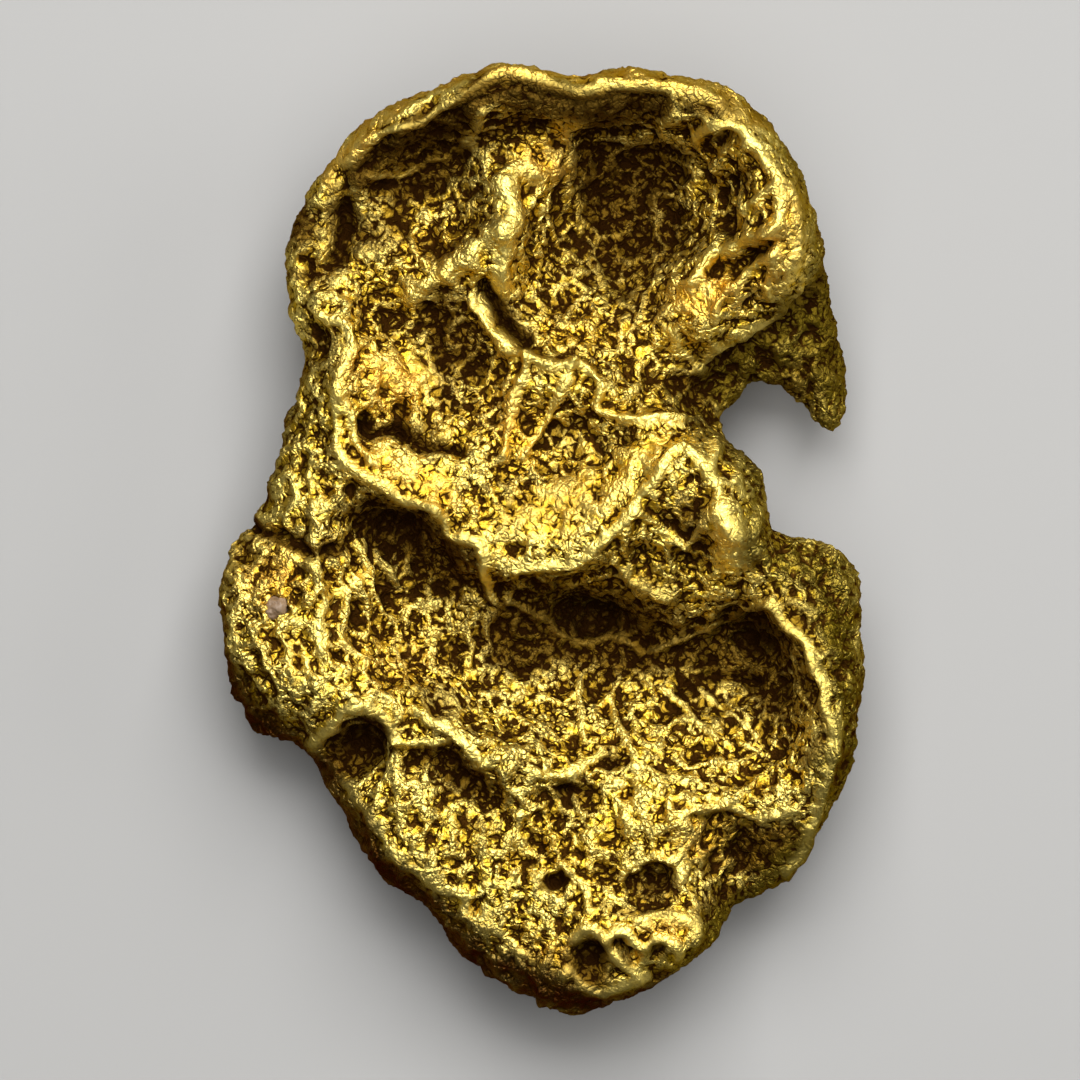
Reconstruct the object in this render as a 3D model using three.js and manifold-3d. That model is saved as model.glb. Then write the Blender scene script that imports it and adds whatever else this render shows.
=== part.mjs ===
// A natural gold nugget, lying on its worn underside, with a quartz grain lodged in its left lobe.
// Millimetres. X runs across the nugget, Y along it, and Z up through it. The origin is under the
// centre of its box, on the surface that it rests on.
import * as THREE from "three";
import { mergeVertices } from "three/addons/utils/BufferGeometryUtils.js";
import Module from "manifold-3d";

const wasm = await Module();
wasm.setup();

// Driving dimensions: the nugget's box, and the size of its facets.
const WIDTH = 19.44;
const LENGTH = 28.38;
const HEIGHT = 7.4;
const FACET = 0.6;

// The outline seen from above, clockwise from the top of the upper rim: [x, y] on a smooth closed curve.
const OUTLINE = [
  // upper rim, with the dip where the sheet is folded
  [-0.7, 14.2], [0.1, 14.12], [0.6, 13.88], [1.5, 13.78], [2.2, 14.12], [4.2, 13.82], [5.3, 13.66],
  // right shoulder
  [6.1, 13.3], [7.15, 12.15], [8.12, 10.3], [8.65, 8.65], [9.1, 7.1],
  // hook
  [9.22, 5.6], [9.42, 4.4], [9.3, 3.4], [8.8, 2.75], [8.1, 3.35], [7.6, 4.2], [7.1, 5.0],
  // the small bay under the shoulder, and its inner corner
  [6.5, 4.8], [5.9, 3.9], [5.3, 3.72], [4.6, 3.98], [4.45, 3.5],
  // tongue lobe
  [4.95, 3.35], [5.7, 2.95], [6.5, 2.5], [6.8, 1.9], [6.65, 1.15], [6.95, 0.4], [7.1, -0.2],
  // right rim
  [7.8, 0.05], [9.05, -0.22], [9.58, -1.15], [9.72, -3.2], [9.6, -5.5], [9.35, -6.8], [8.5, -8.8],
  [7.4, -10.3], [6.3, -10.84], [5.6, -11.15],
  // nose
  [5.6, -11.85], [4.6, -12.62], [3.5, -13.45], [2.0, -14.02], [0.8, -14.2], [-0.4, -13.92],
  // lower left edge
  [-1.4, -13.2], [-2.6, -12.2], [-3.12, -11.2], [-4.4, -10.4], [-5.3, -9.45], [-5.85, -8.05], [-6.55, -7.0],
  [-6.8, -6.15], [-7.1, -5.88],
  // left lobe
  [-7.6, -5.98], [-8.1, -6.15], [-8.8, -5.5], [-9.3, -4.0], [-9.55, -2.2], [-9.7, -1.1], [-9.2, -0.35],
  // left flank
  [-8.55, 0.6], [-7.8, 2.3], [-7.45, 3.9], [-7.12, 4.75], [-7.18, 6.2], [-7.5, 7.45], [-7.64, 8.5],
  [-7.1, 10.0], [-6.3, 11.2], [-5.92, 11.5],
  // upper left rim
  [-5.4, 12.4], [-4.2, 13.04], [-2.9, 13.55], [-1.6, 14.08],
];

// What the front surface passes through: chains of [x, y, height] along the rolled rims and the ridges, and
// single [x, y, height] spots. A landmark's reach says how far it holds the surface around it.
const RIM_REACH = 1.15;
const RIDGE_REACH = 0.85;
const SPOT_REACH = 1.25;
const RIMS = {
  upper: [
    [-5.4, 11.0, 5.7], [-4.4, 12.1, 6.5], [-2.6, 12.95, 7.1], [-0.7, 13.45, 7.5], [1.2, 13.0, 7.3],
    [2.8, 13.3, 7.5], [4.7, 13.0, 7.4], [5.8, 12.3, 7.5],
  ],
  rightShoulder: [[5.8, 12.3, 7.5], [6.8, 11.2, 7.7], [7.4, 9.8, 7.6], [7.5, 8.6, 7.2], [7.1, 7.6, 6.5]],
  right: [
    [6.95, -1.2, 5.6], [7.7, -2.3, 5.7], [8.5, -4.0, 5.9], [8.8, -5.6, 5.9], [8.5, -7.2, 5.5],
    [7.9, -8.8, 4.8], [7.0, -10.0, 4.2],
  ],
};
const RIDGES = {
  innerShelf: [
    [7.0, 9.3, 7.2], [6.0, 8.9, 5.9], [5.1, 8.3, 5.4], [4.0, 7.2, 5.2], [4.9, 6.5, 5.4], [6.2, 6.9, 6.0],
  ],
  shelfArch: [[5.0, 12.1, 5.9], [5.9, 12.2, 6.8]],
  rod: [[-0.9, 10.8, 5.3], [-0.85, 9.5, 5.7], [-1.1, 8.0, 5.3]],
  rodBranch: [[-1.1, 9.0, 5.6], [-2.2, 8.3, 5.4], [-3.6, 7.8, 5.0]],
  leftLip: [
    [-6.1, 7.4, 5.2], [-5.85, 5.6, 5.6], [-5.8, 4.0, 5.7], [-5.2, 2.5, 5.8], [-4.3, 1.4, 5.9],
    [-3.2, 0.8, 5.9], [-2.1, -0.3, 5.8], [-1.5, -0.6, 5.7],
  ],
  web: [
    [-2.0, 7.1, 4.5], [-1.1, 6.0, 5.0], [0.2, 5.1, 5.5], [1.4, 5.0, 5.4], [2.1, 3.9, 5.4],
    [3.4, 3.5, 5.4],
  ],
  webLeg: [[0.2, 5.1, 5.5], [-0.6, 3.8, 5.2], [-1.0, 2.4, 5.2]],
  tongueEdge: [
    [-0.6, -0.75, 5.7], [0.9, -0.6, 6.0], [2.2, 0.3, 6.3], [3.2, 1.6, 6.6], [4.2, 2.6, 6.7], [5.2, 2.3, 6.8],
    [5.5, 1.2, 7.1], [6.0, 0.0, 7.1],
  ],
  lobeLip: [[-6.3, 1.6, 5.2], [-6.7, -0.3, 5.4], [-6.6, -2.0, 5.4], [-6.2, -3.4, 5.0], [-5.6, -5.0, 5.3]],
  hollowLip: [[-6.6, -5.8, 4.8], [-5.4, -5.2, 5.3], [-4.6, -5.9, 5.2]],
  lowerStep: [[-4.2, -4.8, 4.9], [-2.8, -5.5, 5.2], [-1.4, -6.7, 5.7], [0.6, -7.0, 5.2]],
  lipBelowCup: [[4.2, -8.2, 5.3], [5.6, -7.9, 5.2], [7.0, -8.1, 4.9]],
  lowerLeftEdge: [
    [-5.6, -7.5, 4.5], [-4.6, -9.2, 4.6], [-3.0, -10.3, 4.6], [-1.6, -11.8, 4.5], [-0.4, -12.8, 4.3],
  ],
};
// Hollows, plateaus and lumps of the front: [x, y, height].
const SPOTS = {
  wallUnderUpperRim: [
    [-4.3, 10.9, 4.1], [-2.9, 11.7, 4.1], [-0.6, 12.4, 4.5], [1.3, 12.0, 4.2], [3.3, 12.3, 4.4],
  ],
  upperLeftBasin: [[-3.4, 10.7, 3.7], [-4.7, 9.6, 4.2], [-2.6, 9.5, 4.4], [-4.8, 8.5, 4.9]],
  leftShoulder: [[-6.7, 10.1, 4.9], [-6.9, 8.8, 5.0], [-6.0, 8.7, 4.1]],
  knob: [[-0.5, 11.4, 5.0]],
  upperCup: [
    [2.0, 11.7, 3.1], [3.6, 11.2, 2.9], [2.3, 9.9, 2.8], [3.9, 9.4, 2.9], [0.7, 8.7, 3.3], [2.7, 8.2, 3.1],
    [0.4, 7.2, 3.9], [2.2, 6.9, 3.9], [3.2, 5.8, 4.6], [1.5, 5.8, 4.6],
  ],
  shelfPockets: [[5.4, 11.4, 4.6], [5.5, 10.2, 4.3], [6.0, 8.1, 5.0]],
  underShoulder: [[5.3, 4.7, 3.3], [6.7, 5.6, 3.7], [4.3, 4.7, 4.0], [7.5, 6.9, 4.3]],
  hook: [[8.3, 6.6, 3.5], [8.45, 5.2, 3.3], [8.75, 3.95, 3.0]],
  middleLeftSlope: [
    [-4.9, 7.2, 4.1], [-3.1, 6.2, 3.9], [-2.1, 5.4, 3.9], [-4.4, 5.0, 4.9], [-5.0, 3.5, 4.3],
    [-3.4, 3.4, 4.7], [-1.9, 4.2, 4.3],
  ],
  leftFlank: [[-6.8, 5.8, 4.4], [-6.9, 3.2, 4.7], [-7.4, 1.4, 4.9], [-8.2, -0.3, 4.3]],
  bridge: [
    [-3.4, 2.2, 5.5], [-1.8, 1.6, 5.5], [0.6, 3.2, 4.2], [1.7, 3.0, 4.6], [0.4, 1.0, 5.5], [2.4, 1.9, 5.8],
    [3.9, 3.2, 5.6],
  ],
  tongue: [
    [4.2, 1.2, 5.9], [3.9, -0.3, 5.5], [2.6, -0.9, 4.9], [3.7, -1.8, 4.7], [5.5, -1.4, 5.3],
    [6.1, 2.2, 5.4],
  ],
  underTongue: [[1.5, -2.4, 2.5], [3.0, -3.1, 2.6], [6.3, -2.6, 2.4], [4.8, -3.4, 2.7], [-0.1, -2.0, 3.4]],
  middleBasin: [[-4.4, 0.3, 3.2], [-2.9, -0.8, 3.2], [-4.0, -2.0, 3.5], [-5.5, -1.0, 4.3], [-5.3, -2.4, 4.2]],
  leftLobe: [[-8.8, -1.4, 4.8], [-7.7, -2.0, 4.7], [-8.2, -3.4, 5.0], [-7.4, -4.4, 5.1], [-8.5, -5.0, 3.8]],
  lowerCup: [
    [-2.6, -3.5, 3.5], [-0.6, -3.7, 3.0], [1.4, -4.2, 2.8], [3.4, -4.4, 2.9], [5.5, -4.4, 2.8],
    [7.2, -4.0, 2.9], [-1.4, -5.0, 4.0], [0.8, -5.5, 4.0], [2.8, -5.7, 4.0], [4.8, -5.9, 3.8],
    [6.8, -5.9, 3.5], [3.0, -7.2, 4.8], [6.2, -7.1, 4.4],
  ],
  rightRimTop: [[7.9, -0.8, 5.3], [8.8, -1.6, 5.1]],
  lowerRecess: [[6.7, -9.2, 3.2], [5.6, -9.0, 3.8], [6.2, -10.3, 3.4]],
  roundHollow: [[-5.35, -6.3, 3.2]],
  trench: [[-2.1, -7.1, 4.0]],
  lowerPlate: [[-4.2, -7.6, 4.9], [-3.0, -8.7, 4.9], [-1.1, -8.5, 4.7], [-2.0, -10.1, 4.7], [0.8, -8.0, 4.2]],
  noseApproach: [[2.4, -8.9, 5.0], [4.3, -9.6, 5.0], [3.3, -10.5, 4.2], [0.8, -10.6, 4.6]],
  nose: [[2.1, -11.8, 5.6], [4.0, -12.0, 5.7], [1.6, -12.8, 4.6], [3.2, -13.0, 4.6]],
};

// The underside: two bulges under the two cups, a waist between them, and the folds and hollows that cross
// them. It is lower by the wear, and worn flat at 0 where that takes it below.
const WEAR = 0.3;
const UNDERSIDE = {
  upperBulge: [
    [2.0, 9.2, -0.5], [-2.9, 8.6, -0.35], [0.2, 7.2, -0.1], [4.7, 9.8, 0.6], [-5.2, 9.4, 1.0],
    [1.0, 12.0, 0.9],
  ],
  upperHollow: [[-0.6, 10.4, 0.75], [3.9, 7.2, 1.1]],
  waist: [[-4.8, 3.4, 1.3], [-1.0, 3.9, 0.5], [2.6, 2.6, 1.5], [4.9, 1.6, 1.5]],
  hook: [[8.3, 6.4, 1.4], [8.7, 4.4, 1.5]],
  lowerBulge: [
    [4.4, -4.6, -0.5], [-3.4, -3.2, -0.4], [0.4, -2.2, -0.2], [0.8, -7.6, -0.45], [1.6, -11.6, 0.9],
    [6.4, -7.8, 1.0], [-7.2, -2.4, 1.4], [-3.6, -8.6, 0.9], [7.6, -2.6, 1.1],
  ],
  lowerHollow: [[1.0, -4.9, 0.7], [-2.6, -6.0, 0.6], [3.6, -9.4, 0.9]],
};
const UNDERSIDE_FOLDS = {
  acrossTheWaist: [[-6.4, 1.2, 2.1], [-3.6, 0.9, 1.3], [-0.4, 1.4, 1.2], [2.6, 0.4, 1.4], [6.2, 0.2, 2.0]],
  besideTheHook: [[3.4, 5.0, 1.7], [5.6, 6.6, 1.5], [6.8, 8.6, 1.9]],
};

// How the edge rolls over: the height of its waist, and how far in the front and the back roll.
const EDGE = [
  { at: [-4, 13], waist: 5.2, front: 0.75, back: 3.0 },
  { at: [1, 14], waist: 5.7, front: 0.6, back: 3.2 },
  { at: [4.5, 13.6], waist: 5.6, front: 0.6, back: 3.0 },
  { at: [7.5, 11], waist: 5.0, front: 1.3, back: 3.0 },
  { at: [8.6, 8.4], waist: 4.3, front: 1.5, back: 2.4 },
  { at: [8.4, 4.8], waist: 2.4, front: 0.8, back: 0.8 },
  { at: [5.5, 3.9], waist: 2.6, front: 0.7, back: 1.6 },
  { at: [6.8, 1.4], waist: 4.2, front: 1.0, back: 2.2 },
  { at: [8.6, -0.2], waist: 3.6, front: 0.8, back: 2.6 },
  { at: [9.7, -4], waist: 3.7, front: 1.2, back: 3.2 },
  { at: [8.2, -9.4], waist: 3.0, front: 1.0, back: 2.6 },
  { at: [5.4, -12], waist: 3.2, front: 0.9, back: 2.2 },
  { at: [0.8, -14.2], waist: 2.9, front: 1.2, back: 2.2 },
  { at: [-2.6, -12.2], waist: 2.8, front: 1.0, back: 2.2 },
  { at: [-5.8, -8.2], waist: 2.8, front: 0.9, back: 2.4 },
  { at: [-8.2, -5.9], waist: 2.6, front: 0.9, back: 1.8 },
  { at: [-9.6, -2], waist: 3.4, front: 0.7, back: 2.0 },
  { at: [-8, 2], waist: 3.6, front: 0.8, back: 2.4 },
  { at: [-7.3, 7.5], waist: 3.8, front: 0.7, back: 2.6 },
];

// Quartz grain: its middle in plan, its size, how far it stands out of the gold, how far it is turned, how
// deep its facets are cut, and the gap around it.
const GRAIN_AT = [-7.83, -2.05];
const GRAIN_SIZE = [0.84, 0.72, 0.8];
const GRAIN_PROUD = 0.32;
const GRAIN_TURN = 0.7;
const GRAIN_ROUGHNESS = 0.07;
const GRAIN_CLEARANCE = 0.05;

// Distance in plan from (x, y) to the chain, and the chain's height at its nearest point.
function nearestOnChain(chain, x, y) {
  if (chain.length === 1) {
    return { distance: Math.hypot(x - chain[0][0], y - chain[0][1]), height: chain[0][2] };
  }
  let best = { distance: Infinity, height: 0 };
  for (let i = 0; i + 1 < chain.length; i++) {
    const [ax, ay, az] = chain[i];
    const [bx, by, bz] = chain[i + 1];
    const run = (bx - ax) ** 2 + (by - ay) ** 2;
    const share = THREE.MathUtils.clamp(((x - ax) * (bx - ax) + (y - ay) * (by - ay)) / run, 0, 1);
    const distance = Math.hypot(x - ax - share * (bx - ax), y - ay - share * (by - ay));
    if (distance < best.distance) {
      best = { distance, height: az + share * (bz - az) };
    }
  }
  return best;
}

// A landmark pulls with the inverse fourth power of its distance, counted in its reach, and evens out close
// by.
const LANDMARK_EVENNESS = 0.05;
function pullAt(distance, reach) {
  return 1 / ((distance / reach) ** 2 + LANDMARK_EVENNESS) ** 2;
}

// The height at (x, y) of a smooth surface through the landmarks.
function blendedHeight(landmarks, x, y) {
  let sum = 0;
  let total = 0;
  for (const { chain, reach } of landmarks) {
    const { distance, height } = nearestOnChain(chain, x, y);
    const pull = pullAt(distance, reach);
    sum += pull * height;
    total += pull;
  }
  return sum / total;
}

function chainsOf(landmarks, reach) {
  return Object.values(landmarks).map((chain) => ({ chain, reach }));
}

function spotsOf(landmarks) {
  return Object.values(landmarks).flat().map((spot) => ({ chain: [spot], reach: SPOT_REACH }));
}

const front = [...chainsOf(RIMS, RIM_REACH), ...chainsOf(RIDGES, RIDGE_REACH), ...spotsOf(SPOTS)];
const underside = [...chainsOf(UNDERSIDE_FOLDS, RIM_REACH), ...spotsOf(UNDERSIDE)];

// The outline as a fine closed polygon.
const OUTLINE_STEPS = 480;
const outline = new THREE.CatmullRomCurve3(
  OUTLINE.map(([x, y]) => new THREE.Vector3(x, y, 0)),
  true,
  "centripetal",
).getSpacedPoints(OUTLINE_STEPS).slice(0, OUTLINE_STEPS);

// Distance in plan to the outline, positive inside it.
function insideDistance(x, y) {
  let nearest = Infinity;
  let inside = false;
  for (let i = 0, j = outline.length - 1; i < outline.length; j = i++) {
    const a = outline[j];
    const b = outline[i];
    const run = (b.x - a.x) ** 2 + (b.y - a.y) ** 2;
    const share = THREE.MathUtils.clamp(((x - a.x) * (b.x - a.x) + (y - a.y) * (b.y - a.y)) / run, 0, 1);
    nearest = Math.min(nearest, Math.hypot(x - a.x - share * (b.x - a.x), y - a.y - share * (b.y - a.y)));
    if (a.y > y !== b.y > y && x < a.x + ((y - a.y) * (b.x - a.x)) / (b.y - a.y)) {
      inside = !inside;
    }
  }
  return inside ? nearest : -nearest;
}

// The edge's waist and rolls at (x, y), blended from the places where they are given.
const EDGE_REACH = 2;
function edgeAt(x, y) {
  const edge = { waist: 0, front: 0, back: 0 };
  let total = 0;
  for (const place of EDGE) {
    const pull = pullAt(Math.hypot(x - place.at[0], y - place.at[1]), EDGE_REACH);
    total += pull;
    for (const key of Object.keys(edge)) {
      edge[key] += pull * place[key];
    }
  }
  return { waist: edge.waist / total, front: edge.front / total, back: edge.back / total };
}

// A quarter circle: 0 at the outline, 1 from the roll's full depth inwards.
function rolled(distance, roll) {
  const share = THREE.MathUtils.clamp(1 - distance / roll, 0, 1);
  return Math.sqrt(1 - share * share);
}

// The front's and the underside's heights over (x, y), and how far inside the edge that is. The edge is
// swelled past the outline by what its softening takes off.
const EDGE_SWELL = 0.11;
function columnAt(x, y) {
  const inside = insideDistance(x, y) + EDGE_SWELL;
  if (inside <= 0) {
    return { inside };
  }
  const { waist, front: frontRoll, back: backRoll } = edgeAt(x, y);
  const top = waist + (blendedHeight(front, x, y) - waist) * rolled(inside, frontRoll);
  const bottom = waist - (waist - blendedHeight(underside, x, y)) * rolled(inside, backRoll);
  return { inside, top, bottom: bottom - WEAR };
}

// How far inside the solid a point is, negative outside it, and never more than the limit either way.
function depthAt(column, z, limit) {
  const depth = column.inside <= 0 ? -limit : Math.min(column.inside, column.top - z, z - column.bottom);
  return THREE.MathUtils.clamp(depth, -limit, limit);
}

// Grid values averaged with their neighbours along each axis in turn.
function softened(values, count) {
  const strides = [1, count[0], count[0] * count[1]];
  return strides.reduce((from, stride, axis) => from.map((value, n) => {
    const place = Math.floor(n / stride) % count[axis];
    const before = place > 0 ? from[n - stride] : value;
    const after = place + 1 < count[axis] ? from[n + stride] : value;
    return (before + 2 * value + after) / 4;
  }), values);
}

// The grid that the nugget is meshed on: its lowest corner, its number of points each way, and a point's
// place in a flat list. It leaves a margin of two facets all round, and room for what is worn off the
// underside.
const WORN_OFF = 1.5;
function gridAround() {
  const margin = 2 * FACET;
  const low = new THREE.Vector3(-WIDTH / 2, -LENGTH / 2, -WORN_OFF).subScalar(margin);
  const count = [WIDTH, LENGTH, HEIGHT + WORN_OFF].map((size) => Math.ceil((size + 2 * margin) / FACET) + 1);
  const at = (i, j, k) => (k * count[1] + j) * count[0] + i;
  return { low, count, at };
}

// Depths on the grid. They are worked out on one twice as fine and softened there, so that a crest is rounded
// and not broken up.
const SOFTENING_PASSES = 3;
function sampledDepths({ low, count }) {
  const fine = FACET / 2;
  const fineCount = count.map((n) => 2 * n);
  const area = fineCount[0] * fineCount[1];
  const columns = Array.from({ length: area }, (_, n) =>
    columnAt(low.x + (n % fineCount[0]) * fine, low.y + Math.floor(n / fineCount[0]) * fine));
  let depths = Float64Array.from({ length: area * fineCount[2] }, (_, n) =>
    depthAt(columns[n % area], low.z + Math.floor(n / area) * fine, fine));
  for (let pass = 0; pass < SOFTENING_PASSES; pass++) {
    depths = softened(depths, fineCount);
  }
  return Float64Array.from({ length: count[0] * count[1] * count[2] }, (_, n) => {
    const i = n % count[0];
    const j = Math.floor(n / count[0]) % count[1];
    const k = Math.floor(n / (count[0] * count[1]));
    return depths[2 * (i + fineCount[0] * j + area * k)];
  });
}

// Where two solid corners of a grid square meet only across its diagonal, the shallower of the other two is
// filled, so that the mesh has no pinched edge.
const PINCH_FILL = 0.02;
function fillPinches(depth, { count }) {
  const strides = [1, count[0], count[0] * count[1]];
  const squares = [[strides[0], strides[1]], [strides[1], strides[2]], [strides[2], strides[0]]];
  let filled = true;
  while (filled) {
    filled = false;
    for (let n = 0; n < depth.length; n++) {
      for (const [u, v] of squares) {
        const ring = [n, n + u, n + u + v, n + v];
        const solid = ring.map((corner) => depth[corner] > 0);
        if (solid[0] === solid[2] && solid[1] === solid[3] && solid[0] !== solid[1]) {
          const open = ring.filter((corner) => !(depth[corner] > 0));
          open.sort((a, b) => depth[b] - depth[a]);
          depth[open[0]] = PINCH_FILL;
          filled = true;
        }
      }
    }
  }
}

// Each vertex moved towards the middle of its neighbours and then back out, which takes away small teeth and
// keeps the size.
const RELAXING_SHARES = [0.5, -0.53, 0.5, -0.53];
function relax(positions, faces) {
  const neighbours = positions.map(() => new Set());
  for (const [a, b, c] of faces) {
    neighbours[a].add(b);
    neighbours[b].add(c);
    neighbours[c].add(a);
  }
  for (const share of RELAXING_SHARES) {
    const middles = neighbours.map((around) => {
      const sum = [...around].reduce((total, n) => total.add(positions[n]), new THREE.Vector3());
      return sum.divideScalar(around.size);
    });
    positions.forEach((position, n) => position.lerp(middles[n], share));
  }
}

// One vertex in each grid cell that the surface crosses, at the middle of its crossings.
const CELL_CORNERS = [0, 1, 2, 3, 4, 5, 6, 7].map((n) => new THREE.Vector3(n & 1, (n >> 1) & 1, n >> 2));
const CELL_EDGES = [
  [0, 1], [2, 3], [4, 5], [6, 7], [0, 2], [1, 3], [4, 6], [5, 7], [0, 4], [1, 5], [2, 6], [3, 7],
];
function surfaceVertices(depth, { low, count, at }) {
  const vertexOf = new Map();
  const positions = [];
  for (let k = 0; k + 1 < count[2]; k++) {
    for (let j = 0; j + 1 < count[1]; j++) {
      for (let i = 0; i + 1 < count[0]; i++) {
        const values = CELL_CORNERS.map((corner) => depth[at(i + corner.x, j + corner.y, k + corner.z)]);
        const crossed = CELL_EDGES.filter(([a, b]) => values[a] > 0 !== values[b] > 0);
        if (crossed.length > 0) {
          const crossings = crossed.map(([a, b]) =>
            CELL_CORNERS[a].clone().lerp(CELL_CORNERS[b], values[a] / (values[a] - values[b])));
          const middle = crossings.reduce((sum, point) => sum.add(point), new THREE.Vector3());
          middle.divideScalar(crossings.length).add(new THREE.Vector3(i, j, k));
          vertexOf.set(at(i, j, k), positions.length);
          positions.push(middle.multiplyScalar(FACET).add(low));
        }
      }
    }
  }
  return { vertexOf, positions };
}

// A square across each grid line that the surface crosses, cut into two triangles along its shorter diagonal.
const STEPS = [[1, 0, 0], [0, 1, 0], [0, 0, 1]];
function surfaceFaces(depth, { count, at }, { vertexOf, positions }) {
  const faces = [];
  const addSquare = (p, q, r, s) => {
    if (positions[p].distanceTo(positions[r]) < positions[q].distanceTo(positions[s])) {
      faces.push([p, q, r], [p, r, s]);
    } else {
      faces.push([q, r, s], [q, s, p]);
    }
  };
  for (let k = 1; k + 1 < count[2]; k++) {
    for (let j = 1; j + 1 < count[1]; j++) {
      for (let i = 1; i + 1 < count[0]; i++) {
        STEPS.forEach(([a, b, c], axis) => {
          const here = depth[at(i, j, k)] > 0;
          const next = depth[at(i + a, j + b, k + c)] > 0;
          if (here !== next) {
            const [u, v] = [STEPS[(axis + 1) % 3], STEPS[(axis + 2) % 3]];
            const cell = (m, n) => vertexOf.get(
              at(i - m * u[0] - n * v[0], j - m * u[1] - n * v[1], k - m * u[2] - n * v[2]),
            );
            const square = [cell(0, 0), cell(1, 0), cell(1, 1), cell(0, 1)];
            addSquare(...(here ? square : square.reverse()));
          }
        });
      }
    }
  }
  return faces;
}

function nuggetGeometry() {
  const grid = gridAround();
  const depth = sampledDepths(grid);
  fillPinches(depth, grid);
  const vertices = surfaceVertices(depth, grid);
  const faces = surfaceFaces(depth, grid, vertices);
  relax(vertices.positions, faces);
  const worn = vertices.positions.map(({ x, y, z }) => new THREE.Vector3(x, y, Math.max(z, 0)));
  const geometry = new THREE.BufferGeometry().setFromPoints(worn);
  geometry.setIndex(faces.flat());
  return geometry;
}

// A faceted grain: a round one with its corners drawn in and out by turns, grown all round by the growth.
function grainGeometry(growth) {
  const geometry = new THREE.IcosahedronGeometry(0.5, 1);
  geometry.deleteAttribute("normal");
  geometry.deleteAttribute("uv");
  const merged = mergeVertices(geometry);
  const position = merged.getAttribute("position");
  const point = new THREE.Vector3();
  for (let i = 0; i < position.count; i++) {
    point.fromBufferAttribute(position, i);
    point.multiplyScalar(1 - GRAIN_ROUGHNESS * (1 - Math.sin(5 * i)));
    position.setXYZ(i, ...point);
  }
  merged.scale(...GRAIN_SIZE.map((size) => size + 2 * growth));
  merged.rotateZ(GRAIN_TURN);
  return merged;
}

function solidOf(geometry) {
  return new wasm.Manifold(
    new wasm.Mesh({
      numProp: 3,
      vertProperties: new Float32Array(geometry.getAttribute("position").array),
      triVerts: new Uint32Array(geometry.index.array),
    }),
  );
}

function geometryOf(solid) {
  const mesh = solid.getMesh();
  const geometry = new THREE.BufferGeometry();
  geometry.setAttribute("position", new THREE.BufferAttribute(mesh.vertProperties, 3));
  geometry.setIndex(new THREE.BufferAttribute(mesh.triVerts, 1));
  geometry.computeVertexNormals();
  return geometry;
}

function grainPlace() {
  const [x, y] = GRAIN_AT;
  return [x, y, columnAt(x, y).top + GRAIN_PROUD - GRAIN_SIZE[2] / 2];
}

function buildNugget() {
  const pocket = grainGeometry(GRAIN_CLEARANCE).translate(...grainPlace());
  const solid = solidOf(nuggetGeometry()).subtract(solidOf(pocket));
  const gold = new THREE.MeshStandardMaterial({ color: 0xd6a536, roughness: 0.32, metalness: 1 });
  const mesh = new THREE.Mesh(geometryOf(solid), gold);
  mesh.name = "gold_nugget";
  return mesh;
}

function buildQuartzGrain() {
  const quartz = new THREE.MeshStandardMaterial({ color: 0xb89a7c, roughness: 0.55, metalness: 0 });
  const mesh = new THREE.Mesh(grainGeometry(0), quartz);
  mesh.name = "quartz_grain";
  mesh.position.set(...grainPlace());
  return mesh;
}

// The group stretched a little, so that its box is the driving one, with the origin under its centre.
function fit(group) {
  const box = new THREE.Box3().setFromObject(group, true);
  const size = box.getSize(new THREE.Vector3());
  const centre = box.getCenter(new THREE.Vector3());
  group.scale.set(WIDTH / size.x, LENGTH / size.y, HEIGHT / size.z);
  group.position.set(-centre.x, -centre.y, -box.min.z).multiply(group.scale);
}

const specimen = new THREE.Group();
specimen.add(buildNugget(), buildQuartzGrain());
fit(specimen);

export default specimen;
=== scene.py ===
"""A natural gold nugget, lying on its worn underside, seen from straight above."""

import math

import bpy
import numpy as np
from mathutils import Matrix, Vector, noise


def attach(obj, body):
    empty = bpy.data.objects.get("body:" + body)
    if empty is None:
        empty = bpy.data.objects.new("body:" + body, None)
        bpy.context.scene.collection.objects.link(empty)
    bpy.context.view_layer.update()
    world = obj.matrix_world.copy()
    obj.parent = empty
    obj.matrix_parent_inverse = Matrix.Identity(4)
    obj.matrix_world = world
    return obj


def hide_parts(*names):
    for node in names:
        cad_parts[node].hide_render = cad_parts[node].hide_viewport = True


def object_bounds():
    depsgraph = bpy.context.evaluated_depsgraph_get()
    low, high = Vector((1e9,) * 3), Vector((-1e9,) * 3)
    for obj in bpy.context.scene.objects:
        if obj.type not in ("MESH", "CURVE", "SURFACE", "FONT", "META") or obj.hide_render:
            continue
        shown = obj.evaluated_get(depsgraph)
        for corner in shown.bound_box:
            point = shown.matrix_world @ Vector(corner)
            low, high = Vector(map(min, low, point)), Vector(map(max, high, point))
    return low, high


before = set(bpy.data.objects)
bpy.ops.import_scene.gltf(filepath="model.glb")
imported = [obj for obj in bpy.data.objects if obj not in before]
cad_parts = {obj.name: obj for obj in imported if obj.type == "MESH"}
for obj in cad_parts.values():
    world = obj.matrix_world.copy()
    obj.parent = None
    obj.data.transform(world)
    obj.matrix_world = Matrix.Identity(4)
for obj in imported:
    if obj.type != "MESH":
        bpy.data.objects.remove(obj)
cad_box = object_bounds()

MM = 0.001

# Blender's noise vectors start from the clock unless they are seeded.
NOISE_SEED = 1
noise.seed_set(NOISE_SEED)

# ---------------------------------------------------------------------------------------------------------
# Camera: straight above, far enough that the view is nearly parallel. Millimetres.
VIEW_SIDE = 32.4
VIEW_HEIGHT = 4.0
CAMERA_DISTANCE = 500.0
SENSOR = 36.0
CLIP_START = 10.0


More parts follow.
